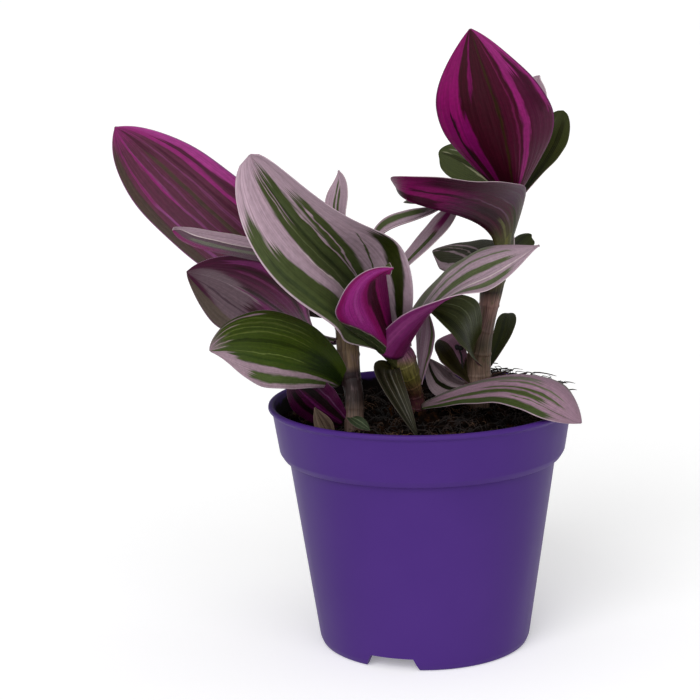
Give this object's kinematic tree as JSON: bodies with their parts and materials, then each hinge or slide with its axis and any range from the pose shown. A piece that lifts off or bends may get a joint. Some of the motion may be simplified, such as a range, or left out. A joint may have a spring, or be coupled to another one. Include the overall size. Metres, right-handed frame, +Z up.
{
  "type": "potted houseplant",
  "caption": "Young striped tradescantia cuttings with broad pink, green and magenta leaves in a small round purple nursery pot of peat.",
  "frame": {"origin": "on the ground under the middle of the whole plant's bounding box", "axes": "+Z up; the side shown in the picture faces -Y"},
  "size_m": [0.1548, 0.105, 0.2097],
  "materials": {
    "pot_plastic": "satin purple moulded plastic",
    "peat": "loose dark fibrous peat",
    "stem": "striated sheaths, olive, beige and reddish purple",
    "leaf": "soft sheen; green with lavender-pink stripes above, magenta below",
    "dry_sheath": "dry papery beige"
  },
  "bodies": {
    "root": {"pot": "pot_plastic", "soil": "peat", "stem_left": "stem", "stem_centre": "stem", "stem_back": "stem", "stem_right": "stem", "leaf_left_big": "leaf", "leaf_left_slim": "leaf", "leaf_left_low_back": "leaf", "leaf_left_front": "leaf", "leaf_left_low": "leaf", "leaf_left_dry": "dry_sheath", "leaf_left_foot": "leaf", "leaf_left_joint": "leaf", "leaf_centre_big": "leaf", "leaf_centre_small": "leaf", "leaf_centre_right": "leaf", "leaf_centre_droop": "leaf", "leaf_centre_mauve": "leaf", "leaf_back_up": "leaf", "leaf_back_right": "leaf", "leaf_back_far_right": "leaf", "leaf_right_top": "leaf", "leaf_right_funnel": "leaf", "leaf_right_back_left": "leaf", "leaf_right_back_right": "leaf", "leaf_right_back": "leaf", "leaf_right_mid_left": "leaf", "leaf_right_mid_right": "leaf", "leaf_right_clasp": "leaf", "leaf_right_low_right": "leaf", "leaf_right_low_left": "leaf", "leaf_low_pale": "leaf", "leaf_front_right": "leaf"}
  },
  "joints": []
}
